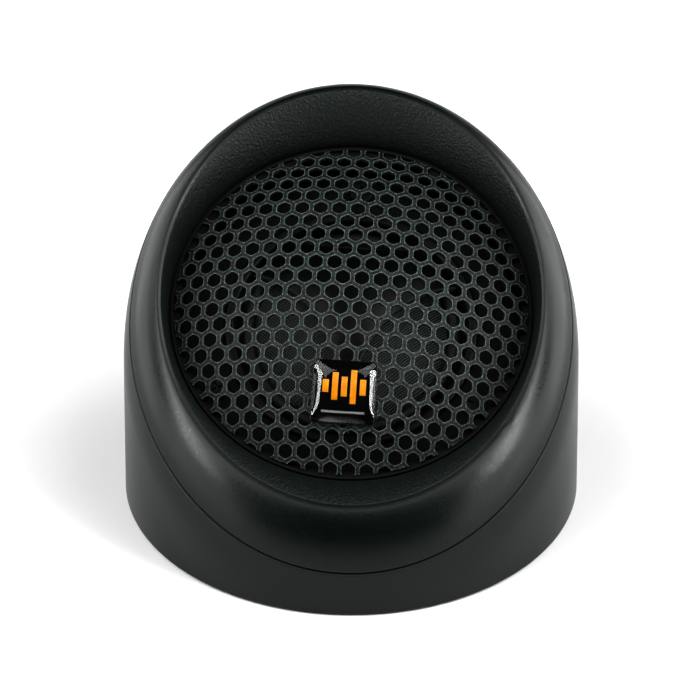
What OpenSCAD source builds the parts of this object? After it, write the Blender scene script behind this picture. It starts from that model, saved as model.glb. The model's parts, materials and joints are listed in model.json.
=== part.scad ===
// Angled surface-mount car tweeter: a slant-cut pod and bezel that carry a one inch soft-dome
// tweeter behind a domed steel mesh. +Z is up and the front faces -Y. The origin is the centre
// of the base. Inside the pod everything is turned on one tilted axis, and a height along that
// axis is a drop, measured down from the slanted plane of the bezel's crest.

/* [Pod] */
// Outer radius of the round base
body_r = 30; // [29:0.5:32]
// Thickness of the pod's wall
body_wall = 1.6; // [1.4:0.1:1.6]
// Height, on the middle axis, at which the wall starts to curve inwards
shoulder_h = 20.8; // [20.4:0.1:21.5]
// Height of the parting line on the middle axis
seam_h = 26; // [25.5:0.1:26.5]
// Slope of the shoulder and the parting line, in degrees
seam_tilt = 33.5; // [33:0.1:34]
// Width of the shadow groove at the parting line
seam_gap = 0.35; // [0.2:0.05:0.5]

/* [Bezel] */
// Height of the bezel's crest on the middle axis
crest_h = 30; // [29.5:0.1:30.5]
// Radius of the crest, seen from above
crest_r = 25.2; // [25:0.1:25.5]
// Extra height of the crest at the back
lip_rise = 0.5; // [0:0.1:0.8]
// Slope of the bezel's face and of the tweeter, in degrees
face_tilt = 32; // [31:0.5:33]
// How far the rounded flank turns in before the crest, in degrees
flank_turn = 80; // [60:1:88]
// Drop from the crest plane to the grille's rim
seat_drop = 5; // [4.5:0.1:5.5]
// Radius of the round mouth at the foot of the funnel
throat_r = 24.1; // [24.1:0.05:24.2]
// Roundness of the funnel: 0 is a straight cone and 1 a quarter ellipse
funnel_bulge = 0.5; // [0:0.1:1]

/* [Base plate] */
// Thickness of the mounting plate
plate_t = 2; // [1.6:0.1:2.2]
// Pitch circle diameter of the fixing holes
fixing_pcd = 36; // [32:1:38]
// Radius of each fixing hole
fixing_r = 1.75; // [1.5:0.05:2.2]
// Distance of the wire outlet behind the middle axis
outlet_y = 13; // [11:0.5:15]
// Radius of the wire outlet
outlet_r = 2.2; // [1.5:0.1:3]

/* [Grille] */
// Radius of the mesh at its rim
mesh_r = 23.3; // [23:0.1:23.3]
// Radius of the sphere that the mesh is pressed to
mesh_sphere_r = 46; // [44:0.5:50]
// Thickness of the sheet
mesh_t = 0.6; // [0.4:0.1:0.8]
// Distance between neighbouring holes
hole_pitch = 2.5; // [2.4:0.05:3]
// Width of each hole across its flats
hole_flats = 1.9; // [1.5:0.05:2]
// How far the tweeter is turned in its seat, in degrees
clocking = -4; // [-10:0.5:10]

/* [Badge] */
// Length of each side of the badge
badge_side = 8.4; // [7:0.1:9]
// Distance of the badge from the middle of the mesh
badge_offset = 13.5; // [12:0.1:14]

/* [Tweeter] */
// Radius of the voice coil's former, inside
former_r = 12.45; // [12.4:0.01:12.5]
// Height of the silk dome
dome_rise = 4.2; // [3.5:0.1:4.5]
// Radius of the guard's ring, inside
guard_r = 15.4; // [15.3:0.05:15.5]
// Radius of the three curves that leave the guard's arms between them
guard_arc_r = 22; // [20:0.5:23]
// Distance from the guard's middle to each curve
guard_hub_r = 4.1; // [3.8:0.05:4.5]
// Distance from the middle to the guard's upper opening, which is smaller
guard_top_r = 11; // [4:0.5:11]

/* [Hidden] */

$fn = 96;
eps = 0.02;          // clearance between faces that meet
azimuths = 72;       // facets round each lofted shell
flank_rings = 7;     // rings up the bezel's flank
rim_rings = 4;       // rings up the pod's shoulder
funnel_rings = 7;    // rings down the funnel
edge_r = 0.3;        // rounding of the pod's bottom edge

// Parting line and shells
land_w = 1.6;        // width of the pod's rim
groove_w = 0.9;      // depth of the shadow groove, inwards
inner_r = body_r - body_wall;
lip_t = 0.6;         // thickness of the lip over the tweeter
skirt_r = 27.2;      // outside of the bezel's skirt
skirt_drop = 7.2;
skirt_gap = 0.15;    // clearance of the skirt inside the pod's rim
seat_gap = 0.06;     // clearance of the seat ring in the faceted bezel

// Seat
flange_r = 24.5;     // tweeter's flange
seat_bore_r = flange_r + 0.08;
seat_r = 26.2;
seat_foot = 10.4;
flange_top = seat_drop + lip_t + 0.15;
flange_foot = 8.2;
clip_t = 0.7;
clip_top = flange_foot + 0.15;
clip_gap = 24;       // opening of the clip, in degrees
cup_r = 23.9;
frame_r = 23.75;
frame_t = 1;

// Tweeter, as drops below the crest plane
faceplate_top = 11.2;
faceplate_foot = 12.6;
shelf_foot = 14.2;
can_r = 17;
can_bore_r = 15.7;
can_foot = 21;
cover_r = 16;
cover_foot = 22;
surround_t = 0.15;
ring_top = faceplate_foot + surround_t + eps;
ring_r = 16.8;
ring_bore_r = 14.9;

// Motor
yoke_r = 15.6;
yoke_bore_r = 13.2;
yoke_foot = 20.4;
yoke_floor = 18.8;
pole_r = 12;
pole_top = 14.4;
pole_foot = 16.4;
magnet_r = 11.6;
vent_r = 2.5;
cap_t = 0.15;
former_t = 0.1;
former_foot = 16.2;
coil_t = 0.35;
coil_top = 14.3;
coil_foot = 16.1;
dome_t = 0.25;
dome_r = former_r + former_t + 0.2;
dome_skirt = 0.3;
roll_r = 0.85;

// Fasteners
screw_r = 1.1;
boss_r = 3.6;
boss_ring = 25;      // distance of the base screws from the axis
boss_top = 7.5;
boss_angles = [-20, 90, 200];
small_screw_r = 0.8;
small_screw_ring = 19.6;
small_screw_angles = [90, 210, 330];

// Badge
badge_t = 0.7;
badge_corner = 0.7;
mark_t = 0.12;
mark_bars = [1.7, 3.6, 2.6, 4.4, 2.1];
bar_w = 0.8;
bar_pitch = 1.2;
mark_rise = 0.7;     // middle of the bars above the middle of the badge
rule_w = 5.6;
rule_t = 0.3;
rule_rise = -2.6;
resin_edge = 0.35;
resin_rise = 0.5;

// Colours
shell_colour = [0.17, 0.18, 0.18];
moulding_colour = [0.1, 0.1, 0.1];
mesh_colour = [0.2, 0.21, 0.21];
steel_colour = [0.62, 0.63, 0.65];
brass_colour = [0.8, 0.66, 0.3];
copper_colour = [0.78, 0.42, 0.24];
felt_colour = [0.3, 0.3, 0.32];

// A point seen from above: az 0 is the front and 90 the right side
function plan(r, az, z) = [r * sin(az), -r * cos(az), z];

// A point given along the tilted axis: u climbs the slope and drop goes into the pod
function tilted(x, u, drop) = [
    x,
    u * cos(face_tilt) + drop * sin(face_tilt),
    crest_h + u * sin(face_tilt) - drop * cos(face_tilt)
];
function tilted_ring(r, drop) = [for (az = azimuth_list) tilted(r * sin(az), -r * cos(az), drop)];
azimuth_list = [for (i = [0:azimuths - 1]) i * 360 / azimuths];

// The outside of pod and bezel is one surface: t runs from 0 at the shoulder to 1 at the crest
function shoulder_z(az) = shoulder_h - tan(seam_tilt) * body_r * cos(az);
function lip(az) = lip_rise * (1 - cos(az)) / 2;
function crest_z(az) = crest_h - tan(face_tilt) * crest_r * cos(az) + lip(az);
function flank_r(t) = body_r - (body_r - crest_r) * (1 - cos(flank_turn * t)) / (1 - cos(flank_turn));
function flank_z(az, t) = shoulder_z(az)
    + (crest_z(az) - shoulder_z(az)) * sin(flank_turn * t) / sin(flank_turn);
function flank(az, t) = plan(flank_r(t), az, flank_z(az, t));

// The slanted parting plane, and where the surface crosses it
function seam_z(az, r, lower) = seam_h - lower - tan(seam_tilt) * r * cos(az);
function seam_t(az, lower, low = 0, high = 1, steps = 24) = let (mid = (low + high) / 2)
    steps == 0 ? mid
    : flank_z(az, mid) < seam_z(az, flank_r(mid), lower) ? seam_t(az, lower, mid, high, steps - 1)
    : seam_t(az, lower, low, mid, steps - 1);
function seam_ring(inset, lower) = [
    for (az = azimuth_list) let (r = flank_r(seam_t(az, 0)) - inset) plan(r, az, seam_z(az, r, lower))
];

// A ring-shaped solid through rings of points that go once round its section
module loft(rings) {
    m = len(rings);
    n = len(rings[0]);
    points = [for (ring = rings) each ring];
    faces = [
        for (i = [0:m - 1], j = [0:n - 1]) let (
            a = i * n + j,
            b = i * n + (j + 1) % n,
            c = ((i + 1) % m) * n + (j + 1) % n,
            d = ((i + 1) % m) * n + j
        ) each [[a, d, b], [b, d, c]]
    ];
    polyhedron(points, faces);
}

// Children are drawn on the tilted axis, with the crest plane at zero
module on_axis() {
    translate([0, 0, crest_h]) rotate([face_tilt, 0, 0]) children();
}

// Children also turn with the tweeter in its seat
module on_tweeter() {
    on_axis() rotate([0, 0, clocking]) children();
}

// A turned ring, from its radii and its drops
module turned(outer, inner, top, foot) {
    translate([0, 0, -foot]) difference() {
        cylinder(r = outer, h = foot - top);
        translate([0, 0, -1]) cylinder(r = inner, h = foot - top + 2);
    }
}

module disc(r, top, foot) {
    translate([0, 0, -foot]) cylinder(r = r, h = foot - top);
}

module rounded_square(side, corner) {
    flat = side - 2 * corner;
    square([side, flat], center = true);
    square([flat, side], center = true);
    for (x = [-1, 1], y = [-1, 1]) translate([x * flat / 2, y * flat / 2]) circle(r = corner, $fn = 32);
}

// A screw that points down, with its head's underside at zero
module small_screw(r, head_r, head_t, length) {
    difference() {
        union() {
            translate([0, 0, -length]) cylinder(r = r, h = length, $fn = 32);
            cylinder(r = head_r, h = head_t, $fn = 48);
        }
        for (a = [0, 90]) rotate(a) translate([0, 0, head_t])
            cube([head_r * 1.2, r * 0.45, head_t], center = true);
    }
}

// A self-tapping screw with a sunk head flush at zero, which points up
module sunk_screw(r, head_r, head_t, length) {
    difference() {
        union() {
            cylinder(r = r, h = length, $fn = 32);
            cylinder(r1 = head_r, r2 = r, h = head_t, $fn = 48);
        }
        for (a = [0, 90]) rotate(a) cube([head_r * 1.2, r * 0.45, head_t], center = true);
    }
}

module at_bosses() {
    for (a = boss_angles) translate([boss_ring * cos(a), boss_ring * sin(a), 0]) children();
}

module base_pod() {
    wall_rings = [
        for (i = [1:rim_rings]) [for (az = azimuth_list) flank(az, seam_t(az, seam_gap) * i / rim_rings)]
    ];
    color(shell_colour) difference() {
        union() {
            loft(concat(
                [[for (az = azimuth_list) plan(body_r - edge_r, az, 0)]],
                [[for (az = azimuth_list) plan(body_r, az, edge_r)]],
                [[for (az = azimuth_list) flank(az, 0)]],
                wall_rings,
                [seam_ring(groove_w, seam_gap)],
                [seam_ring(groove_w, eps)],
                [seam_ring(land_w, eps)],
                [[for (az = azimuth_list) plan(inner_r, az, max(shoulder_z(az) - 1, plate_t + 0.4))]],
                [[for (az = azimuth_list) plan(inner_r, az, 0)]]
            ));
            at_bosses() translate([0, 0, plate_t + eps]) cylinder(r = boss_r, h = boss_top - plate_t - eps);
        }
        at_bosses() translate([0, 0, -1]) cylinder(r = screw_r + eps, h = boss_top, $fn = 32);
    }
}

module base_plate() {
    color(moulding_colour) difference() {
        cylinder(r = inner_r - 0.2, h = plate_t);
        at_bosses() translate([0, 0, -1]) cylinder(r = screw_r + 0.2, h = plate_t + 2, $fn = 32);
        at_bosses() translate([0, 0, -eps]) cylinder(r1 = 2.5, r2 = screw_r + 0.2, h = 1.3, $fn = 48);
        for (i = [0:2]) rotate(30 + 120 * i) translate([fixing_pcd / 2, 0, -1])
            cylinder(r = fixing_r, h = plate_t + 2, $fn = 48);
        translate([0, outlet_y, -1]) cylinder(r = outlet_r + 2, h = plate_t + 2);
    }
}

module base_screws() {
    color(steel_colour) at_bosses() translate([0, 0, 0.1]) sunk_screw(screw_r, 2.3, 1.1, 5.8);
}

module wire_grommet() {
    groove_r = outlet_r + 2 - eps;
    color("black") translate([0, outlet_y, 0]) rotate_extrude() polygon([
        [outlet_r, 0.1], [groove_r, 0.1], [groove_r, plate_t + eps], [groove_r + 1, plate_t + eps],
        [groove_r + 0.8, plate_t + 0.8], [outlet_r + 0.4, plate_t + 1.1], [outlet_r, plate_t + 0.8]
    ]);
}

module collar() {
    funnel = [
        for (i = [0:funnel_rings]) let (
            t = i / funnel_rings,
            f = (1 - funnel_bulge) * t + funnel_bulge * sin(90 * t),
            g = (1 - funnel_bulge) * t + funnel_bulge * (1 - cos(90 * t))
        ) [
            for (az = azimuth_list) tilted(
                (crest_r * (1 - f) + throat_r * f) * sin(az),
                -(crest_r / cos(face_tilt) * (1 - f) + throat_r * f) * cos(az),
                seat_drop * g
            ) + [0, 0, lip(az) * (1 - g)]
        ]
    ];
    color(shell_colour) loft(concat(
        [for (i = [0:flank_rings - 1]) [
            for (az = azimuth_list) let (t = seam_t(az, 0)) flank(az, t + (1 - t) * i / flank_rings)
        ]],
        funnel,
        [tilted_ring(throat_r, seat_drop + lip_t)],
        [tilted_ring(seat_r + seat_gap, seat_drop + lip_t)],
        [tilted_ring(seat_r + seat_gap, skirt_drop)],
        [tilted_ring(skirt_r, skirt_drop)],
        [seam_ring(land_w + skirt_gap, 0)]
    ));
}

module seat_ring() {
    top = seat_drop + lip_t + eps;
    groove_r = seat_bore_r + 0.85;
    groove_top = clip_top - eps;
    groove_foot = clip_top + clip_t + eps;
    color(moulding_colour) on_axis() rotate_extrude() polygon([
        [seat_bore_r, -top], [seat_r, -top], [seat_r, -seat_foot], [seat_bore_r, -seat_foot],
        [seat_bore_r, -groove_foot], [groove_r, -groove_foot], [groove_r, -groove_top],
        [seat_bore_r, -groove_top]
    ]);
}

module retaining_clip() {
    outer = seat_bore_r + 0.8;
    color(steel_colour) on_axis() difference() {
        turned(outer, cup_r + 0.2, clip_top, clip_top + clip_t);
        rotate(90) translate([0, 0, -clip_top - clip_t - 1]) linear_extrude(clip_t + 2) polygon([
            [0, 0],
            [2 * outer * cos(clip_gap / 2), -2 * outer * sin(clip_gap / 2)],
            [2 * outer * cos(clip_gap / 2), 2 * outer * sin(clip_gap / 2)]
        ]);
    }
}

module tweeter_cup() {
    bore_r = 22.4;
    rebate_foot = flange_top + frame_t;
    color(moulding_colour) on_tweeter() difference() {
        rotate_extrude() polygon([
            [frame_r + 0.1, -flange_top], [flange_r, -flange_top], [flange_r, -flange_foot],
            [cup_r, -flange_foot], [cup_r, -shelf_foot], [can_r, -shelf_foot], [can_r, -can_foot],
            [can_bore_r, -can_foot], [can_bore_r, -shelf_foot], [ring_r + 0.1, -shelf_foot],
            [ring_r + 0.1, -faceplate_foot], [bore_r, -faceplate_foot], [bore_r, -rebate_foot],
            [frame_r + 0.1, -rebate_foot]
        ]);
        for (a = small_screw_angles) rotate(a) translate([small_screw_ring, 0, -shelf_foot - 1])
            cylinder(r = small_screw_r + eps, h = 4, $fn = 32);
        for (x = [-1, 1]) rotate(90 + x * 60) translate([18.2, 0, -shelf_foot - 1])
            cylinder(r = 0.5, h = 4, $fn = 24);
    }
}

// The frame's lip carries the rim of the mesh, and its upstand closes round it
module grille_frame() {
    rim_foot = seat_drop + mesh_t + 0.2;
    upstand_top = seat_drop + 0.3;
    color(moulding_colour) on_tweeter() rotate_extrude() polygon([
        [22.5, -rim_foot], [mesh_r + 0.1, -rim_foot], [mesh_r + 0.1, -upstand_top],
        [frame_r, -upstand_top], [frame_r, -flange_top - frame_t + eps],
        [22.5, -flange_top - frame_t + eps]
    ]);
}

// Flat sheet of hexagons in even rows, corners up the slope
module hole_grid() {
    rows = ceil(mesh_r / (hole_pitch * sin(60)));
    reach = mesh_r - 1.45;
    for (row = [-rows:rows], col = [-12:12]) {
        x = (col + (row % 2 == 0 ? 0 : 0.5)) * hole_pitch;
        y = row * hole_pitch * sin(60);
        if (norm([x, y]) < reach)
            translate([x, y]) rotate(30) circle(r = hole_flats / 2 / cos(30), $fn = 6);
    }
}

mesh_centre = -seat_drop - sqrt(pow(mesh_sphere_r, 2) - pow(mesh_r, 2));

module grille_mesh() {
    color(mesh_colour) on_tweeter() intersection() {
        translate([0, 0, mesh_centre]) difference() {
            sphere(r = mesh_sphere_r, $fn = 180);
            sphere(r = mesh_sphere_r - mesh_t, $fn = 180);
        }
        translate([0, 0, -seat_drop - mesh_t]) linear_extrude(12) difference() {
            circle(r = mesh_r, $fn = 120);
            hole_grid();
        }
    }
}

// Children lie on the mesh where the badge is stuck, with their own Z out of it
module on_badge() {
    on_tweeter() translate([0, 0, mesh_centre]) rotate([asin(badge_offset / mesh_sphere_r), 0, 0])
        translate([0, 0, mesh_sphere_r + eps]) children();
}

module bars_outline() {
    for (i = [0:len(mark_bars) - 1]) translate([(i - (len(mark_bars) - 1) / 2) * bar_pitch, mark_rise])
        square([bar_w, mark_bars[i]], center = true);
}

module rule_outline() {
    translate([0, rule_rise]) square([rule_w, rule_t], center = true);
}

module badge_plate() {
    color("black") on_badge() linear_extrude(badge_t) rounded_square(badge_side, badge_corner);
}

module badge_mark() {
    color("orange") on_badge() translate([0, 0, badge_t]) linear_extrude(mark_t) bars_outline();
}

module badge_rule() {
    color("silver") on_badge() translate([0, 0, badge_t]) linear_extrude(mark_t) rule_outline();
}

module badge_resin() {
    side = badge_side - 0.3;
    lens_r = (pow(side / 2, 2) + pow(resin_rise, 2)) / (2 * resin_rise);
    color([0.8, 0.85, 0.9, 0.5]) on_badge() translate([0, 0, badge_t]) difference() {
        intersection() {
            linear_extrude(resin_edge + resin_rise) rounded_square(side, badge_corner);
            translate([0, 0, resin_edge + resin_rise - lens_r]) sphere(r = lens_r, $fn = 120);
        }
        translate([0, 0, -1]) linear_extrude(1 + mark_t) {
            bars_outline();
            rule_outline();
        }
    }
}

module faceplate() {
    color(moulding_colour) on_tweeter() difference() {
        rotate_extrude() polygon([
            [guard_r - 0.1, -faceplate_top], [22.2, -faceplate_top], [22.2, -faceplate_foot],
            [14.6, -faceplate_foot], [14.6, -faceplate_foot + 0.4]
        ]);
        for (a = small_screw_angles) rotate(a) translate([small_screw_ring, 0, -faceplate_foot - 1])
            cylinder(r = small_screw_r + 0.1, h = 4, $fn = 32);
    }
}

module faceplate_screws() {
    color(steel_colour) on_tweeter() for (a = small_screw_angles) rotate(a)
        translate([small_screw_ring, 0, -faceplate_top + eps]) small_screw(small_screw_r, 1.5, 0.7, 2.6);
}

module dome_guard() {
    arch_rise = 5.1;
    arch_r = (pow(guard_r, 2) + pow(arch_rise, 2)) / (2 * arch_rise);
    arch_t = 1.1;
    color(moulding_colour) on_tweeter() {
        turned(guard_r + 1.5, guard_r, faceplate_top - 0.6, faceplate_top - eps);
        intersection() {
            translate([0, 0, -faceplate_top + arch_rise - arch_r]) difference() {
                sphere(r = arch_r, $fn = 120);
                sphere(r = arch_r - arch_t, $fn = 120);
            }
            translate([0, 0, -faceplate_top + eps]) linear_extrude(arch_rise + 1) difference() {
                circle(r = guard_r + 0.4);
                for (opening = [[90, guard_top_r], [210, guard_hub_r], [330, guard_hub_r]])
                    rotate(opening[0]) translate([guard_arc_r + opening[1], 0])
                        circle(r = guard_arc_r, $fn = 180);
            }
        }
    }
}

module surround_ring() {
    color(moulding_colour) on_tweeter() turned(ring_r, ring_bore_r, ring_top, shelf_foot - eps);
}

// The half roll and the flat edge that the faceplate clamps
module surround() {
    roll_in = dome_r + eps;
    roll_mid = roll_in + roll_r;
    arc_out = [for (a = [180:-15:0]) [roll_mid + roll_r * cos(a), -faceplate_foot + roll_r * sin(a)]];
    arc_in = [
        for (a = [0:15:180])
            [roll_mid + (roll_r - surround_t) * cos(a), -faceplate_foot + (roll_r - surround_t) * sin(a)]
    ];
    flat_top = -faceplate_foot - eps;
    color([0.12, 0.12, 0.13]) on_tweeter() rotate_extrude() polygon(concat(
        arc_out,
        [[roll_mid + roll_r, flat_top], [ring_r, flat_top], [ring_r, flat_top - surround_t + eps],
        [roll_mid + roll_r - surround_t, flat_top - surround_t + eps]],
        arc_in
    ));
}

module yoke() {
    color(steel_colour) on_tweeter() rotate_extrude() polygon([
        [vent_r, -yoke_floor], [yoke_bore_r, -yoke_floor], [yoke_bore_r, -shelf_foot - eps],
        [yoke_r, -shelf_foot - eps], [yoke_r, -yoke_foot], [vent_r, -yoke_foot]
    ]);
}

module magnet() {
    color([0.75, 0.76, 0.78]) on_tweeter() turned(magnet_r, vent_r, pole_foot, yoke_floor);
}

module pole_plate() {
    color(steel_colour) on_tweeter() turned(pole_r, vent_r, pole_top, pole_foot);
}

module shorting_cap() {
    color(copper_colour) on_tweeter() {
        turned(pole_r + cap_t, pole_r + eps, pole_top, pole_foot);
        turned(pole_r + cap_t, vent_r, pole_top - cap_t, pole_top - eps);
        turned(pole_r + cap_t, pole_r + eps, pole_top - cap_t, pole_top);
    }
}

module pole_pad() {
    color(felt_colour) on_tweeter() disc(9, pole_top - cap_t - 1.2, pole_top - cap_t - eps);
}

module chamber_felt() {
    color(felt_colour) on_tweeter() disc(14, yoke_foot + eps, can_foot - eps);
}

module rear_cover() {
    color(moulding_colour) on_tweeter() difference() {
        disc(cover_r, can_foot, cover_foot);
        for (x = [-1, 1]) translate([x * 6.2, 7, -cover_foot - 1]) cylinder(r = 0.8 + eps, h = 3, $fn = 32);
    }
}

board_foot = cover_foot + 0.8;

module terminal_board() {
    color([0.2, 0.35, 0.2]) on_tweeter() difference() {
        translate([-7.6, 4.5, -board_foot]) cube([15.2, 5, board_foot - cover_foot - eps]);
        for (x = [-1, 1]) translate([x * 6.2, 7, -board_foot - 1]) cylinder(r = 0.8 + eps, h = 3, $fn = 32);
    }
}

// A flat tab with a foot that lies on the board
module tab(x, w) {
    color(brass_colour) on_tweeter() translate([x, 7, -board_foot - eps]) {
        translate([-w / 2, -1.8, -0.5]) cube([w, 3.6, 0.5]);
        difference() {
            translate([-w / 2, -0.25, -5]) cube([w, 0.5, 5]);
            translate([0, 0, -3.6]) rotate([90, 0, 0]) cylinder(r = 0.6, h = 2, center = true, $fn = 32);
        }
    }
}

module terminal_positive() tab(3, 3.2);

module terminal_negative() tab(-3, 2.4);

module terminal_rivets() {
    color(brass_colour) on_tweeter() for (x = [-1, 1]) translate([x * 6.2, 7, 0]) {
        disc(0.8, can_foot + 0.1, board_foot + eps);
        disc(1.3, board_foot + eps, board_foot + 0.5);
    }
}

// A thin lead in straight runs, rounded at each corner
module lead(points, r) {
    for (i = [0:len(points) - 2]) {
        run = points[i + 1] - points[i];
        translate(points[i]) rotate([0, acos(run.z / norm(run)), atan2(run.y, run.x)])
            cylinder(r = r, h = norm(run), $fn = 24);
    }
    for (i = [1:len(points) - 2]) translate(points[i]) sphere(r = r, $fn = 24);
}

module lead_wires() {
    side_x = 18.2 * cos(30);
    side_u = 18.2 * sin(30);
    turn_drop = cover_foot + 0.6;
    color("red") on_tweeter() for (x = [-1, 1]) lead([
        [x * side_x, side_u, -ring_top - 0.5],
        [x * side_x, side_u, -turn_drop],
        [x * 5.2, 7.6, -board_foot - 1.6]
    ], 0.35);
}

module silk_dome() {
    sphere_r = (pow(dome_r, 2) + pow(dome_rise, 2)) / (2 * dome_rise);
    color([0.14, 0.14, 0.15]) on_tweeter() {
        intersection() {
            translate([0, 0, -faceplate_foot + dome_rise - sphere_r]) difference() {
                sphere(r = sphere_r, $fn = 120);
                sphere(r = sphere_r - dome_t, $fn = 120);
            }
            translate([0, 0, -faceplate_foot]) cylinder(r = dome_r + 1, h = dome_rise + 1);
        }
        turned(dome_r, former_r, faceplate_foot - 0.1, faceplate_foot + dome_skirt);
    }
}

module coil_former() {
    color([0.85, 0.7, 0.4]) on_tweeter()
        turned(former_r + former_t, former_r, faceplate_foot + dome_skirt + eps, former_foot);
}

module voice_coil() {
    color(copper_colour) on_tweeter()
        turned(former_r + former_t + coil_t, former_r + former_t + eps, coil_top, coil_foot);
}

base_pod();
base_plate();
base_screws();
wire_grommet();
collar();
seat_ring();
retaining_clip();
tweeter_cup();
grille_frame();
grille_mesh();
badge_plate();
badge_mark();
badge_rule();
badge_resin();
faceplate();
faceplate_screws();
dome_guard();
surround_ring();
surround();
yoke();
magnet();
pole_plate();
shorting_cap();
pole_pad();
chamber_felt();
rear_cover();
terminal_board();
terminal_positive();
terminal_negative();
terminal_rivets();
lead_wires();
silk_dome();
coil_former();
voice_coil();
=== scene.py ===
import bpy
import json
from math import asin, atan2, cos, floor, hypot, pi, radians, sin, sqrt
from mathutils import Matrix, Vector


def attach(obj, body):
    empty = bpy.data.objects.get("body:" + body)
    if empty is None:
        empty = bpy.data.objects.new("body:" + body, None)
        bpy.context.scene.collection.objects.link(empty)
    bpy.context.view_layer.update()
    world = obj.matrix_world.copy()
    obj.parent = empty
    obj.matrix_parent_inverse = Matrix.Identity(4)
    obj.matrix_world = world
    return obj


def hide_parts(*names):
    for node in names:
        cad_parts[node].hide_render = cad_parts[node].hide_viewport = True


mm = 0.001
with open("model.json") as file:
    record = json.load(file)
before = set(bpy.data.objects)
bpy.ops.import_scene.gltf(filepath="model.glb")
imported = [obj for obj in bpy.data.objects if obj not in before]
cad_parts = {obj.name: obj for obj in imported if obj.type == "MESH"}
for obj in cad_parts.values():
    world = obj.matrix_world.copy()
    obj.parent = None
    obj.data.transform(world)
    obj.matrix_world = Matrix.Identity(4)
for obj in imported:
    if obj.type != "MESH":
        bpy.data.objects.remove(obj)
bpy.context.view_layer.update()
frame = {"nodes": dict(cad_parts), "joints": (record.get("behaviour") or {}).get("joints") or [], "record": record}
nodes = frame["nodes"]
slotOf = {part["node"]: part["material_slot"] for part in frame["record"]["subparts"]}

# The tweeter turns on one tilted axis. Its pieces are modelled flat, with the axis up and the
# bezel's crest plane at zero, and are tilted into place when they are done.
twist = [joint for joint in frame["joints"] if joint["name"] == "tweeter_twist"][0]
faceAxis = Vector(twist["axis"])
crestCentre = Vector(twist["pos_m"])
faceTilt = atan2(-faceAxis.y, faceAxis.z)
clocking = radians(-4)
bezelPlace = Matrix.Translation(crestCentre) @ Matrix.Rotation(faceTilt, 4, "X")
tweeterPlace = bezelPlace @ Matrix.Rotation(clocking, 4, "Z")

view = {
    "aim": (-0.16 * mm, 0, 21.4 * mm),
    "elevation": 34.8,
    "distance": 1.2,
    "lens": 469,
}


def makeCamera():
    camera = bpy.data.cameras.new("camera")
    camera.lens = view["lens"]
    camera.sensor_width = 36
    camera.clip_end = 20
    holder = bpy.data.objects.new("camera", camera)
    bpy.context.scene.collection.objects.link(holder)
    rise = radians(view["elevation"])
    holder.location = Vector(view["aim"]) + Vector((0, -cos(rise), sin(rise))) * view["distance"]
    holder.rotation_euler = (pi / 2 - rise, 0, 0)
    bpy.context.scene.camera = holder


makeCamera()
print("camera set")


# A shader socket that takes part in ordinary expressions
class Wire:
    def __init__(self, finish, socket):
        self.finish = finish
        self.socket = socket

    def maths(self, operation, first, second=0.0):
        return self.finish.add("ShaderNodeMath", {"operation": operation}, {0: first, 1: second})

    def __add__(self, other):
        return self.maths("ADD", self, other)

    def __radd__(self, other):
        return self.maths("ADD", other, self)

    def __sub__(self, other):
        return self.maths("SUBTRACT", self, other)

    def __rsub__(self, other):
        return self.maths("SUBTRACT", other, self)

    def __mul__(self, other):
        return self.maths("MULTIPLY", self, other)

    def __rmul__(self, other):
        return self.maths("MULTIPLY", other, self)

    def __pow__(self, other):
        return self.maths("POWER", self, other)

    def sine(self):
        return self.maths("SINE", self)

    def between(self, low, high):
        steps = {"Value": self, "From Min": low, "From Max": high, "To Min": 0.0, "To Max": 1.0}
        return self.finish.add("ShaderNodeMapRange", {"interpolation_type": "SMOOTHSTEP"}, steps)


class Finish:
    def __init__(self, name, colour, roughness, **surface):
        self.material = bpy.data.materials.new(name)
        self.material.use_nodes = True
        self.tree = self.material.node_tree
        self.surface = self.tree.nodes["Principled BSDF"]
        self.put("Base Color", colour)
        self.put("Roughness", roughness)
        for socket, value in surface.items():
            self.put(socket.replace("_", " "), value)
        self.place = self.add("ShaderNodeTexCoord", output="Object")

    def add(self, kind, settings=None, values=None, output=0):
        node = self.tree.nodes.new(kind)
        for key, value in (settings or {}).items():
            setattr(node, key, value)
        for key, value in (values or {}).items():
            self.join(value, node.inputs[key])
        return Wire(self, node.outputs[output])

    def join(self, value, socket):
        if isinstance(value, Wire):
            self.tree.links.new(value.socket, socket)
        elif isinstance(value, tuple) and len(value) == 3 and socket.type == "RGBA":
            socket.default_value = (*value, 1)
        else:
            socket.default_value = value

    def put(self, socket, value):
        self.join(value, self.surface.inputs[socket])

    # size is the width of a grain in metres
    def grain(self, size, detail=2.0):
        values = {"Vector": self.place, "Scale": 1 / size, "Detail": detail}
        return self.add("ShaderNodeTexNoise", None, values)

    def turned(self, rotation, location=(0, 0, 0), place=None):
        values = {"Vector": place or self.place, "Rotation": rotation, "Location": location}
        return self.add("ShaderNodeMapping", {"vector_type": "TEXTURE"}, values)

    def axes(self, place=None):
        split = self.add("ShaderNodeSeparateXYZ", None, {0: place or self.place})
        outputs = split.socket.node.outputs
        return [Wire(self, outputs[i]) for i in range(3)]

    def mix(self, mask, first, second):
        return self.add("ShaderNodeMix", {"data_type": "RGBA"}, {0: mask, 6: first, 7: second}, 2)

    def relief(self, height, depth, strength=1.0):
        values = {"Strength": strength, "Distance": depth, "Height": height}
        self.put("Normal", self.add("ShaderNodeBump", None, values))


finishes = {}


def keep(slot, finish):
    finishes[slot] = finish.material
    return finish


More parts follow.
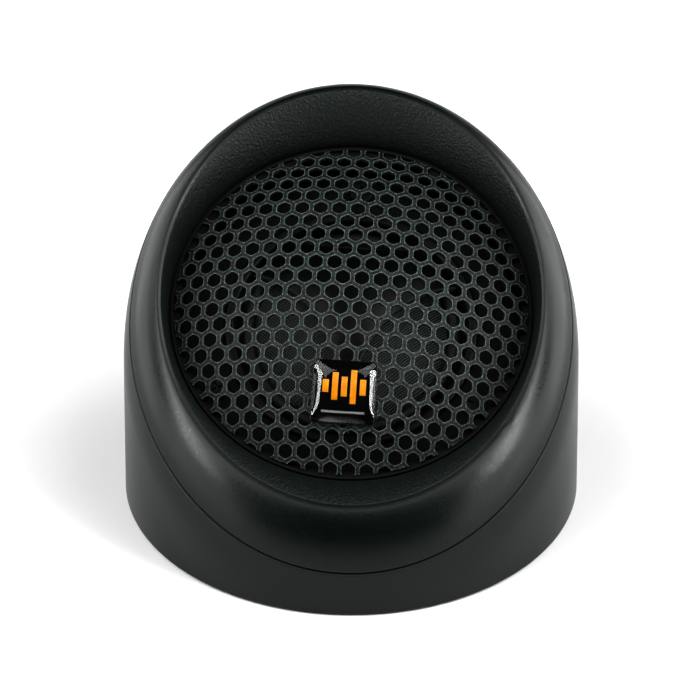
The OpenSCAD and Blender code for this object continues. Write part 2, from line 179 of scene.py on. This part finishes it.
collarPlastic = {
    "colour": (0.0012, 0.0046, 0.0036),
    "pale": (0.0040, 0.0088, 0.0074),
    "roughness": 0.31,
    "grained": 0.5,
    "crest": 25.1 * mm,
    "crestFade": 0.2 * mm,
    "grain": 0.36 * mm,
    "patch": 9 * mm,
    "depth": 0.16 * mm,
    "fine": 0.06,
}
podPlastic = {
    "colour": (0.0014, 0.0038, 0.0031),
    "pale": (0.0024, 0.0052, 0.0045),
    "roughness": 0.30,
    "grain": 0.12 * mm,
    "patch": 12 * mm,
    "depth": 0.003 * mm,
}


# Only the funnel, inside the crest, is strongly grained
def makeCollarPlastic():
    look = collarPlastic
    finish = Finish("collarPlastic", look["colour"], look["roughness"])
    across, along = finish.axes()[:2]
    reach = (across * across + along * along) ** 0.5
    funnel = 1 - reach.between(look["crest"] - look["crestFade"], look["crest"])
    grain = finish.grain(look["grain"], 3.0)
    patch = finish.grain(look["patch"])
    pale = grain.between(0.35, 0.7) * funnel
    finish.put("Base Color", finish.mix(pale, look["colour"], look["pale"]))
    rough = look["roughness"] + funnel * (look["grained"] - look["roughness"])
    finish.put("Roughness", rough + (grain - 0.5) * 0.16 + (patch - 0.5) * 0.08)
    finish.relief(grain * (funnel + look["fine"]), look["depth"])
    keep("collar_plastic", finish)


def makePodPlastic():
    look = podPlastic
    finish = Finish("podPlastic", look["colour"], look["roughness"])
    grain = finish.grain(look["grain"])
    patch = finish.grain(look["patch"], 3.0)
    finish.put("Base Color", finish.mix(patch.between(0.3, 0.7), look["colour"], look["pale"]))
    finish.put("Roughness", look["roughness"] + (grain - 0.5) * 0.10 + (patch - 0.5) * 0.10)
    finish.relief(grain, look["depth"], 0.8)
    keep("pod_plastic", finish)


innerPlastic = {
    "colour": (0.004, 0.004, 0.004),
    "roughness": 0.5,
    "specular": 0.15,
    "grain": 0.15 * mm,
    "depth": 0.008 * mm,
}
guardPlastic = {
    "colour": (0.004, 0.0044, 0.0044),
    # rim: painted highlight, a pale base colour along the edges of the arms
    "rim": (0.10, 0.11, 0.108),
    "roughness": 0.33,
    "specular": 0.3,
    "grain": 0.2 * mm,
    "depth": 0.004 * mm,
}


def makeInnerPlastics():
    look = innerPlastic
    finish = Finish("innerPlastic", look["colour"], look["roughness"])
    finish.put("Specular IOR Level", look["specular"])
    grain = finish.grain(look["grain"])
    finish.put("Roughness", look["roughness"] + (grain - 0.5) * 0.2)
    finish.relief(grain, look["depth"], 0.7)
    keep("inner_plastic", finish)
    look = guardPlastic
    finish = Finish("guardPlastic", look["colour"], look["roughness"])
    finish.put("Specular IOR Level", look["specular"])
    grain = finish.grain(look["grain"])
    # painted highlight: the arms' edges are painted pale where the rim attribute is set
    rim = finish.add("ShaderNodeAttribute", {"attribute_name": "rim"}, output=2)
    finish.put("Base Color", finish.mix(rim, look["colour"], look["rim"]))
    finish.put("Roughness", look["roughness"] + (grain - 0.5) * 0.16)
    finish.relief(grain, look["depth"], 0.6)
    keep("guard_plastic", finish)


meshPaint = {
    "dark": (0.0015, 0.0021, 0.0019),
    "colour": (0.024, 0.033, 0.030),
    # pale colour of the painted highlight round the holes
    "paintedHoleHighlight": (0.17, 0.21, 0.195),
    "roughness": 0.42,
    "specular": 0.32,
    "blotch": 0.34 * mm,
    "speck": 0.13 * mm,
    "depth": 0.2 * mm,
}


# Painted highlight: the paint is pale in speckles round the holes, standing for light caught on the hole rims;
# elsewhere it is blotched and speckled
def makeMeshPaint():
    look = meshPaint
    finish = Finish("meshPaint", look["colour"], look["roughness"])
    finish.put("Specular IOR Level", look["specular"])
    blotch = finish.grain(look["blotch"], 3.0)
    speck = finish.grain(look["speck"])
    highlightMask = finish.add("ShaderNodeAttribute", {"attribute_name": "holeEdge"}, output=2)
    paint = finish.mix(blotch.between(0.38, 0.62), look["dark"], look["colour"])
    # painted highlight: pale speckles along the hole edges
    paintedHoleHighlight = highlightMask.between(0.55, 1.0) * speck.between(0.35, 0.6)
    finish.put("Base Color", finish.mix(paintedHoleHighlight, paint, look["paintedHoleHighlight"]))
    finish.put("Roughness", look["roughness"] + (speck - 0.5) * 0.3)
    finish.relief(blotch * 0.6 + speck * 0.4, look["depth"])
    keep("mesh_steel", finish)


badgePaint = {
    "black": (0.004, 0.004, 0.005),
    "orange": ((1.0, 0.39, 0.002), (1.0, 0.45, 0.004)),
    "grey": ((0.3, 0.32, 0.33), (0.42, 0.44, 0.45)),
    "roughness": 0.3,
    "resinIor": 1.5,
}


def makeBadgeFinishes():
    look = badgePaint
    finish = Finish("badgeBlack", look["black"], 0.1)
    finish.put("Roughness", 0.1 + finish.grain(2 * mm).between(0.3, 0.8) * 0.06)
    keep("badge_black", finish)
    dark, pale = look["orange"]
    finish = Finish("badgeOrange", dark, look["roughness"])
    tone = finish.grain(0.8 * mm, 3.0)
    finish.put("Base Color", finish.mix(tone.between(0.3, 0.7), dark, pale))
    keep("badge_orange", finish)
    dark, pale = look["grey"]
    finish = Finish("badgeGrey", dark, look["roughness"])
    finish.put("Base Color", finish.mix(finish.grain(0.5 * mm, 3.0), dark, pale))
    keep("badge_grey", finish)
    finish = Finish("badgeResin", (1.0, 1.0, 1.0), 0.02, IOR=look["resinIor"])
    finish.put("Transmission Weight", 1.0)
    finish.put("Roughness", 0.012 + finish.grain(3 * mm).between(0.4, 0.9) * 0.01)
    keep("badge_resin", finish)


silk = {
    "thread": 0.31 * mm,
    "slant": 40,
    "colour": (0.001, 0.001, 0.001),
    "pale": (0.15, 0.165, 0.16),
    "depth": 0.06 * mm,
}
surroundCloth = {**silk, "pale": (0.03, 0.032, 0.032), "depth": 0.03 * mm}


# Thick threads lie side by side, and thin ones cross them
def makeWoven(slot, name, look):
    finish = Finish(name, look["colour"], 0.5)
    flat = finish.turned((faceTilt, 0, 0))
    slanted = finish.turned((0, 0, radians(look["slant"])), place=flat)
    across, along = finish.axes(slanted)[:2]
    pitch = 2 * pi / look["thread"]
    warp = (across * pitch).sine()
    weft = (along * pitch).sine()
    weave = (weft * 0.5 + 0.5) * (0.75 + warp * 0.25)
    finish.put("Base Color", finish.mix(weave.between(0.35, 0.95), look["colour"], look["pale"]))
    finish.put("Roughness", 0.55 - weave * 0.14)
    finish.relief(weave, look["depth"])
    keep(slot, finish)


def makeMetals():
    looks = {
        "zinc_steel": ("zincSteel", (0.52, 0.53, 0.55), (0.62, 0.63, 0.66), 0.32),
        "black_steel": ("blackSteel", (0.02, 0.02, 0.022), (0.035, 0.035, 0.037), 0.4),
        "spring_steel": ("springSteel", (0.34, 0.35, 0.37), (0.45, 0.46, 0.48), 0.28),
        "magnet_nickel": ("magnetNickel", (0.62, 0.61, 0.6), (0.72, 0.71, 0.7), 0.16),
        "brass": ("brass", (0.72, 0.58, 0.3), (0.82, 0.68, 0.4), 0.27),
    }
    for slot, (name, dark, pale, roughness) in looks.items():
        finish = Finish(name, dark, roughness, Metallic=1.0)
        cloud = finish.grain(1.6 * mm, 4.0)
        scratch = finish.grain(0.12 * mm)
        finish.put("Base Color", finish.mix(cloud.between(0.3, 0.7), dark, pale))
        finish.put("Roughness", roughness + (cloud - 0.5) * 0.2)
        finish.relief(scratch, 0.003 * mm, 0.5)
        keep(slot, finish)


winding = {
    "wire": 0.12 * mm,
    "gap": (0.45, 0.17, 0.07),
    "turn": (0.72, 0.36, 0.18),
    "depth": 0.012 * mm,
}


# Turns of enamelled wire show as fine lines round the coil
def makeCopper():
    look = winding
    finish = Finish("copper", look["turn"], 0.3, Metallic=1.0)
    up = finish.axes(finish.turned((faceTilt, 0, 0), tuple(crestCentre)))[2]
    turns = (up * (2 * pi / look["wire"])).sine()
    finish.put("Base Color", finish.mix(turns * 0.5 + 0.5, look["gap"], look["turn"]))
    finish.put("Roughness", 0.3 + (finish.grain(0.9 * mm, 3.0) - 0.5) * 0.2)
    finish.relief(turns, look["depth"], 0.8)
    keep("copper", finish)


# Dark and pale colour, roughness, width of a grain and its depth
softLooks = {
    "rubber": ((0.014, 0.014, 0.014), (0.024, 0.024, 0.024), 0.72, 0.25 * mm, 0.01 * mm),
    "felt": ((0.07, 0.07, 0.075), (0.17, 0.17, 0.18), 0.95, 0.14 * mm, 0.08 * mm),
    "former_film": ((0.5, 0.26, 0.05), (0.62, 0.35, 0.08), 0.22, 1.2 * mm, 0.004 * mm),
    "board": ((0.012, 0.07, 0.03), (0.02, 0.10, 0.045), 0.34, 0.3 * mm, 0.006 * mm),
    "lead_cover": ((0.30, 0.012, 0.012), (0.38, 0.02, 0.02), 0.42, 0.5 * mm, 0.004 * mm),
}
softNames = {"former_film": "formerFilm", "lead_cover": "leadCover"}


def makeSoftFinishes():
    for slot, (dark, pale, roughness, size, depth) in softLooks.items():
        finish = Finish(softNames.get(slot, slot), dark, roughness)
        grain = finish.grain(size, 4.0)
        finish.put("Base Color", finish.mix(grain.between(0.3, 0.7), dark, pale))
        finish.put("Roughness", roughness + (grain - 0.5) * 0.16)
        finish.relief(grain, depth, 0.8)
        keep(slot, finish)


makeCollarPlastic()
makePodPlastic()
makeInnerPlastics()
makeMeshPaint()
makeBadgeFinishes()
makeWoven("silk", "silkWeave", silk)
makeWoven("surround_cloth", "surroundCloth", surroundCloth)
makeMetals()
makeCopper()
makeSoftFinishes()
for name, node in nodes.items():
    node.data.materials.clear()
    node.data.materials.append(finishes[slotOf[name]])
print("finishes made:", len(finishes))


def deselect():
    if bpy.context.mode != "OBJECT":
        bpy.ops.object.mode_set(mode="OBJECT")
    bpy.ops.object.select_all(action="DESELECT")


def pick(piece):
    deselect()
    piece.select_set(True)
    bpy.context.view_layer.objects.active = piece


def edit(piece):
    pick(piece)
    bpy.ops.object.mode_set(mode="EDIT")
    bpy.ops.mesh.select_all(action="SELECT")


# Leaves edit mode, selects what the test accepts, and goes back in
def choose(piece, mode, accepts):
    bpy.ops.mesh.select_mode(type=mode)
    bpy.ops.mesh.select_all(action="DESELECT")
    bpy.ops.object.mode_set(mode="OBJECT")
    parts = {"VERT": piece.data.vertices, "EDGE": piece.data.edges, "FACE": piece.data.polygons}[mode]
    for part in parts:
        part.select = accepts(part)
    bpy.ops.object.mode_set(mode="EDIT")


def modify(piece, kind, **settings):
    pick(piece)
    modifier = piece.modifiers.new(kind.lower(), kind)
    for key, value in settings.items():
        setattr(modifier, key, value)
    bpy.ops.object.modifier_apply(modifier=modifier.name)


def soften(piece, width, segments=2, angle=32):
    modify(
        piece, "BEVEL", width=width, segments=segments, limit_method="ANGLE",
        angle_limit=radians(angle), harden_normals=False, use_clamp_overlap=True,
    )


def smooth(piece, angle=35):
    pick(piece)
    bpy.ops.object.shade_smooth_by_angle(angle=radians(angle))


# A turned piece: its section is drawn as (radius, height) in millimetres and spun round the axis
def spun(name, section, steps=144, closed=True):
    points = [(r * mm, 0, z * mm) for r, z in section]
    count = len(points)
    lines = [(i, i + 1) for i in range(count - 1)]
    if closed:
        lines.append((count - 1, 0))
    data = bpy.data.meshes.new(name)
    data.from_pydata(points, lines, [])
    piece = bpy.data.objects.new(name, data)
    bpy.context.scene.collection.objects.link(piece)
    edit(piece)
    bpy.ops.mesh.spin(steps=steps, angle=2 * pi, center=(0, 0, 0), axis=(0, 0, 1))
    bpy.ops.mesh.select_all(action="SELECT")
    bpy.ops.mesh.remove_doubles(threshold=0.001 * mm)
    bpy.ops.mesh.normals_make_consistent(inside=False)
    bpy.ops.object.mode_set(mode="OBJECT")
    return piece


# A copy of a CAD node, merged and with its triangles paired up, ready for finer work
def copyOf(node, name):
    piece = bpy.data.objects.new(name, nodes[node].data.copy())
    bpy.context.scene.collection.objects.link(piece)
    edit(piece)
    bpy.ops.mesh.remove_doubles(threshold=0.002 * mm)
    bpy.ops.mesh.tris_convert_to_quads(face_threshold=radians(50), shape_threshold=radians(60))
    bpy.ops.object.mode_set(mode="OBJECT")
    return piece


def settle(piece, place):
    pick(piece)
    piece.matrix_world = place
    bpy.ops.object.transform_apply(location=True, rotation=True, scale=True)


def handOver(piece, body, slot, *replaced):
    piece.data.materials.clear()
    piece.data.materials.append(finishes[slot])
    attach(piece, body)
    if replaced:
        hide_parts(*replaced)


shell = {
    "edge": 0.16 * mm,
    "segments": 2,
    "crest": 0.45 * mm,
    "crestRadius": 25.2 * mm,
    "crestBand": 0.08 * mm,
    "crestDrop": 0.2 * mm,
}


def dropOf(point):
    return -(point - crestCentre).dot(faceAxis)


# The bezel's crest is rounded more than the other edges
def roundCrest(piece):
    def onCrest(edge):
        ends = [piece.data.vertices[i].co for i in edge.vertices]
        high = all(dropOf(p) < shell["crestDrop"] for p in ends)
        return high and all(
            abs(hypot(p.x, p.y) - shell["crestRadius"]) < shell["crestBand"] for p in ends
        )

    edit(piece)
    choose(piece, "EDGE", onCrest)
    bpy.ops.mesh.bevel(offset=shell["crest"], segments=4, affect="EDGES")
    bpy.ops.object.mode_set(mode="OBJECT")


def makeShells():
    for node, name, slot in (
        ("base_pod", "podShell", "pod_plastic"),
        ("collar", "collarShell", "collar_plastic"),
    ):
        piece = copyOf(node, name)
        if node == "collar":
            roundCrest(piece)
        soften(piece, shell["edge"], shell["segments"], 28)
        modify(piece, "SUBSURF", levels=1, render_levels=1)
        smooth(piece, 40)
        handOver(piece, "pod", slot, node)


makeShells()
print("shells made")


grille = {
    "pitch": 2.5 * mm,
    "flats": 1.9 * mm,
    "thickness": 0.55 * mm,
    "rim": 23.3 * mm,
    "rimDrop": 5 * mm,
    "sphere": 46 * mm,
    "corner": 0.28 * mm,
    "edge": 0.1 * mm,
    "rows": 23,
    "columns": 33,
    "merge": 0.01 * mm,
}


# The sheet is punched flat and then pressed to a dome: a point keeps its distance from the
# middle, measured along the sheet
def press(piece, radius, centreHeight):
    for vertex in piece.data.vertices:
        reach = hypot(vertex.co.x, vertex.co.y)
        turn = reach / radius
        spread = (radius + vertex.co.z) * sin(turn) / reach if reach > 1e-9 else 1
        rise = (radius + vertex.co.z) * cos(turn) + centreHeight
        vertex.co = (vertex.co.x * spread, vertex.co.y * spread, rise)


# Writes a number at each point of a flat piece, which its finish reads as edges with a painted highlight
def markEdges(piece, name, nearness):
    highlightMask = piece.data.attributes.new(name, "FLOAT", "POINT")
    for vertex, mark in zip(piece.data.vertices, highlightMask.data):
        mark.value = nearness(vertex.co)


# 1 at the edge of a hole and 0 midway between two holes
def nearHole(point):
    pitch = grille["pitch"]
    row = pitch * sin(pi / 3)
    nearest = pitch
    for j in (floor(point.y / row), floor(point.y / row) + 1):
        i = floor(point.x / pitch - j / 2 + 0.5)
        x = point.x - (i + j / 2) * pitch
        y = point.y - j * row
        sides = [abs(x * cos(turn) + y * sin(turn)) for turn in (0, pi / 3, 2 * pi / 3)]
        nearest = min(nearest, max(sides))
    inward = (pitch / 2 - nearest) / ((pitch - grille["flats"]) / 2)
    return max(0, min(1, inward)) if point.z > -0.3 * grille["thickness"] else 0


def makeGrille():
    look = grille
    cellRadius = look["pitch"] / sqrt(3)
    bpy.ops.mesh.primitive_circle_add(vertices=6, radius=cellRadius, fill_type="NGON")
    piece = bpy.context.object
    piece.name = "grilleMesh"
    edit(piece)
    bpy.ops.mesh.inset(thickness=(look["pitch"] - look["flats"]) / 2)
    choose(piece, "VERT", lambda v: hypot(v.co.x, v.co.y) < cellRadius * 0.95)
    bpy.ops.mesh.bevel(offset=look["corner"], segments=3, affect="VERTICES")
    choose(piece, "FACE", lambda f: f.center.length < look["merge"] and f.area > 1.5 * mm * mm)
    bpy.ops.mesh.delete(type="FACE")
    bpy.ops.object.mode_set(mode="OBJECT")
    rowPitch = look["pitch"] * sin(pi / 3)
    merging = {
        "use_relative_offset": False, "use_constant_offset": True,
        "use_merge_vertices": True, "merge_threshold": look["merge"],
    }
    modify(
        piece, "ARRAY", count=look["columns"],
        constant_offset_displace=(look["pitch"], 0, 0), **merging,
    )
    modify(
        piece, "ARRAY", count=look["rows"],
        constant_offset_displace=(look["pitch"] / 2, rowPitch, 0), **merging,
    )
    half = look["rows"] // 2
    middle = (-look["pitch"] * (look["columns"] // 2 + half / 2), -rowPitch * half, 0)
    settle(piece, Matrix.Translation(middle))
    rimReach = look["sphere"] * asin(look["rim"] / look["sphere"])
    edit(piece)
    choose(piece, "FACE", lambda f: hypot(f.center.x, f.center.y) > rimReach + look["pitch"])
    bpy.ops.mesh.delete(type="FACE")
    bpy.ops.mesh.select_all(action="SELECT")
    bpy.ops.mesh.remove_doubles(threshold=look["merge"])
    bpy.ops.object.mode_set(mode="OBJECT")
    modify(piece, "SOLIDIFY", thickness=look["thickness"], offset=-1)
    soften(piece, look["edge"], 1, 50)
    bpy.ops.mesh.primitive_cylinder_add(vertices=144, radius=rimReach, depth=4 * mm)
    cutter = bpy.context.object
    modify(piece, "BOOLEAN", operation="INTERSECT", object=cutter, solver="EXACT")
    bpy.data.objects.remove(cutter)
    markEdges(piece, "holeEdge", nearHole)
    press(piece, look["sphere"], -look["rimDrop"] - sqrt(look["sphere"] ** 2 - look["rim"] ** 2))
    smooth(piece, 30)
    settle(piece, tweeterPlace)
    handOver(piece, "tweeter", "mesh_steel", "grille_mesh")


makeGrille()
print("grille made")


# Lengths in millimetres; each opening has a direction, a distance from the middle and half a width
guard = {
    "ring": 15.4,
    "ringOut": 16.9,
    "drop": 11.2,
    "rise": 5.1,
    "arc": 22,
    "openings": ((90, 11, 9), (210, 4.1, 13.7), (330, 4.1, 13.7)),
    "arcSteps": 24,
    "thickness": 1.1,
    "edge": 0.26,
    "paintedHighlightBand": 0.156,
    "ringEdge": 0.1,
    "ringFoot": -11.18,
    "ringTop": -10.55,
}


# The arms are what three wide arcs leave of a disc, pressed to an arch like the mesh
def makeGuard():
    look = guard
    archRadius = (look["ring"] ** 2 + look["rise"] ** 2) / (2 * look["rise"])
    outline = []
    centres = []
    steps = look["arcSteps"]
    for direction, hub, halfWidth in look["openings"]:
        facing = radians(direction)
        centre = Vector((cos(facing), sin(facing))) * (look["arc"] + hub)
        spread = asin(halfWidth / look["arc"])
        centres.append(centre)
        for i in range(steps + 1):
            turn = facing + pi + spread * (1 - 2 * i / steps)
            outline.append(centre + Vector((cos(turn), sin(turn))) * look["arc"])

    # 1 within a narrow band along the arcs' edges, where the finish paints a highlight
    def nearArc(point):
        gap = min((Vector(point.xy) / mm - centre).length for centre in centres) - look["arc"]
        return 1 if gap < look["paintedHighlightBand"] else 0

    data = bpy.data.meshes.new("guardArms")
    data.from_pydata([(p.x * mm, p.y * mm, 0) for p in outline], [], [list(range(len(outline)))])
    piece = bpy.data.objects.new("guardArms", data)
    bpy.context.scene.collection.objects.link(piece)
    edit(piece)
    bpy.ops.mesh.normals_make_consistent(inside=False)
    bpy.ops.mesh.quads_convert_to_tris(quad_method="BEAUTY", ngon_method="BEAUTY")
    bpy.ops.mesh.subdivide(number_cuts=2)
    bpy.ops.object.mode_set(mode="OBJECT")
    modify(piece, "SOLIDIFY", thickness=look["thickness"] * mm, offset=-1)
    soften(piece, look["edge"] * mm, 2, 60)
    # marks the arm edges that get a painted highlight
    markEdges(piece, "rim", nearArc)
    press(piece, archRadius * mm, (-look["drop"] + look["rise"] - archRadius) * mm)
    smooth(piece, 50)
    settle(piece, tweeterPlace)
    handOver(piece, "tweeter", "guard_plastic", "dome_guard")
    foot, top = look["ringFoot"], look["ringTop"]
    ring = spun("guardRing", [
        (look["ring"], foot), (look["ring"], -10.75), (look["ring"] + 0.25, top),
        (look["ringOut"] - 0.3, top), (look["ringOut"], -10.85), (look["ringOut"], foot),
    ])
    soften(ring, look["ringEdge"] * mm)
    smooth(ring)
    settle(ring, tweeterPlace)
    handOver(ring, "tweeter", "guard_plastic")


makeGuard()
print("guard made")


# Lengths in millimetres
dome = {
    "radius": 12.75,
    "rise": 4.2,
    "drop": 12.6,
    "thickness": 0.25,
    "skirt": 0.3,
    "former": 12.45,
    "edge": 0.05,
    "steps": 28,
}
surround = {
    "gap": 0.02,
    "roll": 0.85,
    "wall": 0.15,
    "out": 16.8,
    "top": -12.62,
    "foot": -12.75,
    "steps": 16,
}


def makeDome():
    look = dome
    sphere = (look["radius"] ** 2 + look["rise"] ** 2) / (2 * look["rise"])
    centre = -look["drop"] + look["rise"] - sphere
    rim = asin(look["radius"] / sphere)
    steps = look["steps"]
    outside = [
        (sphere * sin(rim * i / steps), centre + sphere * cos(rim * i / steps))
        for i in range(steps + 1)
    ]
    inner = sphere - look["thickness"]
    innerRim = asin(look["former"] / inner)
    inside = [
        (inner * sin(innerRim * i / steps), centre + inner * cos(innerRim * i / steps))
        for i in range(steps, -1, -1)
    ]
    foot = -look["drop"] - look["skirt"]
    section = outside + [(look["radius"], foot), (look["former"], foot)] + inside
    piece = spun("silkDome", section, closed=False)
    soften(piece, look["edge"] * mm, 2, 50)
    smooth(piece)
    settle(piece, tweeterPlace)
    handOver(piece, "diaphragm", "silk", "silk_dome")


# A half roll of cloth round the dome, with a flat edge to glue it by
def makeSurround():
    look = surround
    roll = look["roll"]
    thin = roll - look["wall"]
    middle = dome["radius"] + look["gap"] + roll
    steps = look["steps"]
    upper = [
        (middle + roll * cos(pi * (1 - i / steps)), -dome["drop"] + roll * sin(pi * i / steps))
        for i in range(steps + 1)
    ]
    lower = [
        (middle + thin * cos(pi * i / steps), -dome["drop"] + thin * sin(pi * i / steps))
        for i in range(steps + 1)
    ]
    edge = [(look["out"], look["top"]), (look["out"], look["foot"]), (middle + thin, look["foot"])]
    piece = spun("surroundRoll", upper + edge + lower)
    smooth(piece)
    settle(piece, tweeterPlace)
    handOver(piece, "tweeter", "surround_cloth", "surround")


makeDome()
makeSurround()
print("dome and surround made")


# Lengths in millimetres
badge = {
    "side": 8.4,
    "corner": 0.6,
    "edge": 0.1,
    "offset": 13.5,
    "lift": 0.01,
    "thickness": 0.7,
    "bars": (1.7, 3.6, 2.6, 4.4, 2.1),
    "barWidth": 0.8,
    "barPitch": 1.2,
    "barRise": 0.7,
    "rule": (5.6, 0.3, -2.6),
    "print": 0.12,
    "printEdge": 0.03,
    "sunk": 0.02,
    "resinSide": 8.1,
    "resinEdge": 0.2,
    "resinRise": 0.75,
    "resinFlat": 3.6,
    "resinCells": 36,
}
sphereDrop = grille["rimDrop"] + sqrt(grille["sphere"] ** 2 - grille["rim"] ** 2)
badgePlace = (
    tweeterPlace
    @ Matrix.Translation((0, 0, -sphereDrop))
    @ Matrix.Rotation(asin(badge["offset"] * mm / grille["sphere"]), 4, "X")
    @ Matrix.Translation((0, 0, grille["sphere"]))
)


def block(name, width, depth, low, high, x=0, y=0):
    bpy.ops.mesh.primitive_cube_add(size=1, location=(x * mm, y * mm, (low + high) / 2 * mm))
    piece = bpy.context.object
    piece.name = name
    piece.scale = (width * mm, depth * mm, (high - low) * mm)
    bpy.ops.object.transform_apply(location=True, rotation=True, scale=True)
    return piece


# Squeezes the square ends of a grid into quarter rounds
def roundCorners(piece, half, corner):
    for vertex in piece.data.vertices:
        p = (abs(vertex.co.x) - half + corner) / corner
        q = (abs(vertex.co.y) - half + corner) / corner
        if p > 0 and q > 0:
            x = half - corner + corner * p * sqrt(1 - q * q / 2)
            y = half - corner + corner * q * sqrt(1 - p * p / 2)
            vertex.co.x = x if vertex.co.x > 0 else -x
            vertex.co.y = y if vertex.co.y > 0 else -y


def makeBadge():
    look = badge
    plate = block("badgePlate", look["side"], look["side"], look["lift"], look["thickness"])
    edit(plate)

    def upright(edge):
        low, high = [plate.data.vertices[i].co.z for i in edge.vertices]
        return abs(high - low) > look["thickness"] / 2 * mm

    choose(plate, "EDGE", upright)
    bpy.ops.mesh.bevel(offset=look["corner"] * mm, segments=6, affect="EDGES")
    bpy.ops.object.mode_set(mode="OBJECT")
    soften(plate, look["edge"] * mm, 3, 50)
    smooth(plate)
    settle(plate, badgePlace)
    handOver(plate, "tweeter", "badge_black", "badge_plate")
    low, high = look["thickness"] - look["sunk"], look["thickness"] + look["print"]
    bars = [
        block("badgeBar", look["barWidth"], height, low, high,
              (i - (len(look["bars"]) - 1) / 2) * look["barPitch"], look["barRise"])
        for i, height in enumerate(look["bars"])
    ]
    deselect()
    for bar in bars:
        bar.select_set(True)
    bpy.context.view_layer.objects.active = bars[0]
    bpy.ops.object.join()
    mark = bars[0]
    mark.name = "badgeMark"
    soften(mark, look["printEdge"] * mm, 2, 50)
    smooth(mark)
    settle(mark, badgePlace)
    handOver(mark, "tweeter", "badge_orange", "badge_mark")
    width, depth, rise = look["rule"]
    rule = block("badgeRule", width, depth, low, high, 0, rise)
    soften(rule, look["printEdge"] * mm, 2, 50)
    smooth(rule)
    settle(rule, badgePlace)
    handOver(rule, "tweeter", "badge_grey", "badge_rule")


def crown(t):
    return 1 - abs(t) ** badge["resinFlat"]


# The resin crowns like a drop that the badge's edges hold
def makeResin():
    look = badge
    half = look["resinSide"] / 2 * mm
    cells = look["resinCells"]
    bpy.ops.mesh.primitive_grid_add(x_subdivisions=cells, y_subdivisions=cells, size=2 * half)
    piece = bpy.context.object
    piece.name = "badgeResin"
    for vertex in piece.data.vertices:
        across, along = vertex.co.x / half, vertex.co.y / half
        across, along = 1.5 * across - 0.5 * across ** 3, 1.5 * along - 0.5 * along ** 3
        rise = look["resinEdge"] + look["resinRise"] * crown(across) * crown(along)
        vertex.co = (half * across, half * along, rise * mm)
    roundCorners(piece, half, look["corner"] * mm)
    edit(piece)
    bpy.ops.mesh.region_to_loop()
    foot = -(look["resinEdge"] + look["sunk"]) * mm
    bpy.ops.mesh.extrude_edges_move(TRANSFORM_OT_translate={"value": (0, 0, foot)})
    bpy.ops.mesh.edge_face_add()
    bpy.ops.mesh.select_all(action="SELECT")
    bpy.ops.mesh.normals_make_consistent(inside=False)
    bpy.ops.object.mode_set(mode="OBJECT")
    smooth(piece, 60)
    settle(piece, badgePlace @ Matrix.Translation((0, 0, look["thickness"] * mm)))
    handOver(piece, "tweeter", "badge_resin", "badge_resin")


makeBadge()
makeResin()
print("badge made")


# Softboxes stand on a ring round the part: azimuth from the front towards each side, elevation,
# width, and brightness on the right and on the left
light = {
    "distance": 0.6,
    "centre": 0.02,
    "height": 0.3,
    "boxes": {
        "keyHigh": (55, 64, 0.3, 3.7, 4.0),
        "key": (57, 38, 0.12, 19, 16),
        "keyLow": (55, 12, 0.3, 2.6, 2.4),
        "sideHigh": (80, 64, 0.3, 1.8, 1.3),
        "sideLow": (80, 12, 0.3, 3.2, 2.6),
        "rearHigh": (105, 38, 0.3, 4.2, 3.1),
        "rearLow": (105, 12, 0.3, 4.4, 3.6),
        "backLow": (130, 12, 0.3, 3.4, 3.6),
        "back": (130, 38, 0.3, 1.2, 0.6),
    },
    "horizon": 0.9,
    "sky": 0.03,
    "band": (0.02, 0.12),
    "contrast": 1.45,
    "floor": (0.68, 0.68, 0.68),
    "floorSize": 3.0,
    "floorRoughness": 0.8,
}


def makeLamps():
    for name, (azimuth, elevation, width, right, left) in light["boxes"].items():
        for side, radiance in ((1, right), (-1, left)):
            lamp = bpy.data.lights.new(name, "AREA")
            lamp.shape = "RECTANGLE"
            lamp.size = width
            lamp.size_y = light["height"]
            lamp.energy = radiance * pi * width * light["height"]
            holder = bpy.data.objects.new(name, lamp)
            turn, rise = radians(azimuth) * side, radians(elevation)
            away = Vector((sin(turn) * cos(rise), -cos(turn) * cos(rise), sin(rise)))
            holder.location = away * light["distance"] + Vector((0, 0, light["centre"]))
            holder.rotation_euler = away.to_track_quat("Z", "Y").to_euler()
            holder.visible_camera = False
            bpy.context.scene.collection.objects.link(holder)


# The sky is dim, with a pale band at the horizon
def makeSky():
    world = bpy.data.worlds.new("studio")
    world.use_nodes = True
    tree = world.node_tree
    place = tree.nodes.new("ShaderNodeTexCoord")
    split = tree.nodes.new("ShaderNodeSeparateXYZ")
    band = tree.nodes.new("ShaderNodeMapRange")
    tree.links.new(place.outputs["Generated"], split.inputs[0])
    tree.links.new(split.outputs["Z"], band.inputs["Value"])
    low, high = light["band"]
    steps = {"From Min": low, "From Max": high, "To Min": light["horizon"], "To Max": light["sky"]}
    for socket, value in steps.items():
        band.inputs[socket].default_value = value
    tree.links.new(band.outputs[0], tree.nodes["Background"].inputs["Strength"])
    tree.nodes["Background"].inputs["Color"].default_value = (1, 1, 1, 1)
    bpy.context.scene.world = world


def makeFloor():
    bpy.ops.mesh.primitive_grid_add(x_subdivisions=24, y_subdivisions=24, size=light["floorSize"])
    paper = bpy.context.object
    paper.name = "floor"
    rough = light["floorRoughness"]
    finish = Finish("floorPaper", light["floor"], rough)
    finish.put("Roughness", rough + (finish.grain(20 * mm) - 0.5) * 0.05)
    paper.data.materials.append(finish.material)


makeFloor()
makeLamps()
makeSky()
bpy.context.scene.view_settings.view_transform = "Standard"
bpy.context.scene.view_settings.gamma = 1 / light["contrast"]
print("stage set")

deselect()
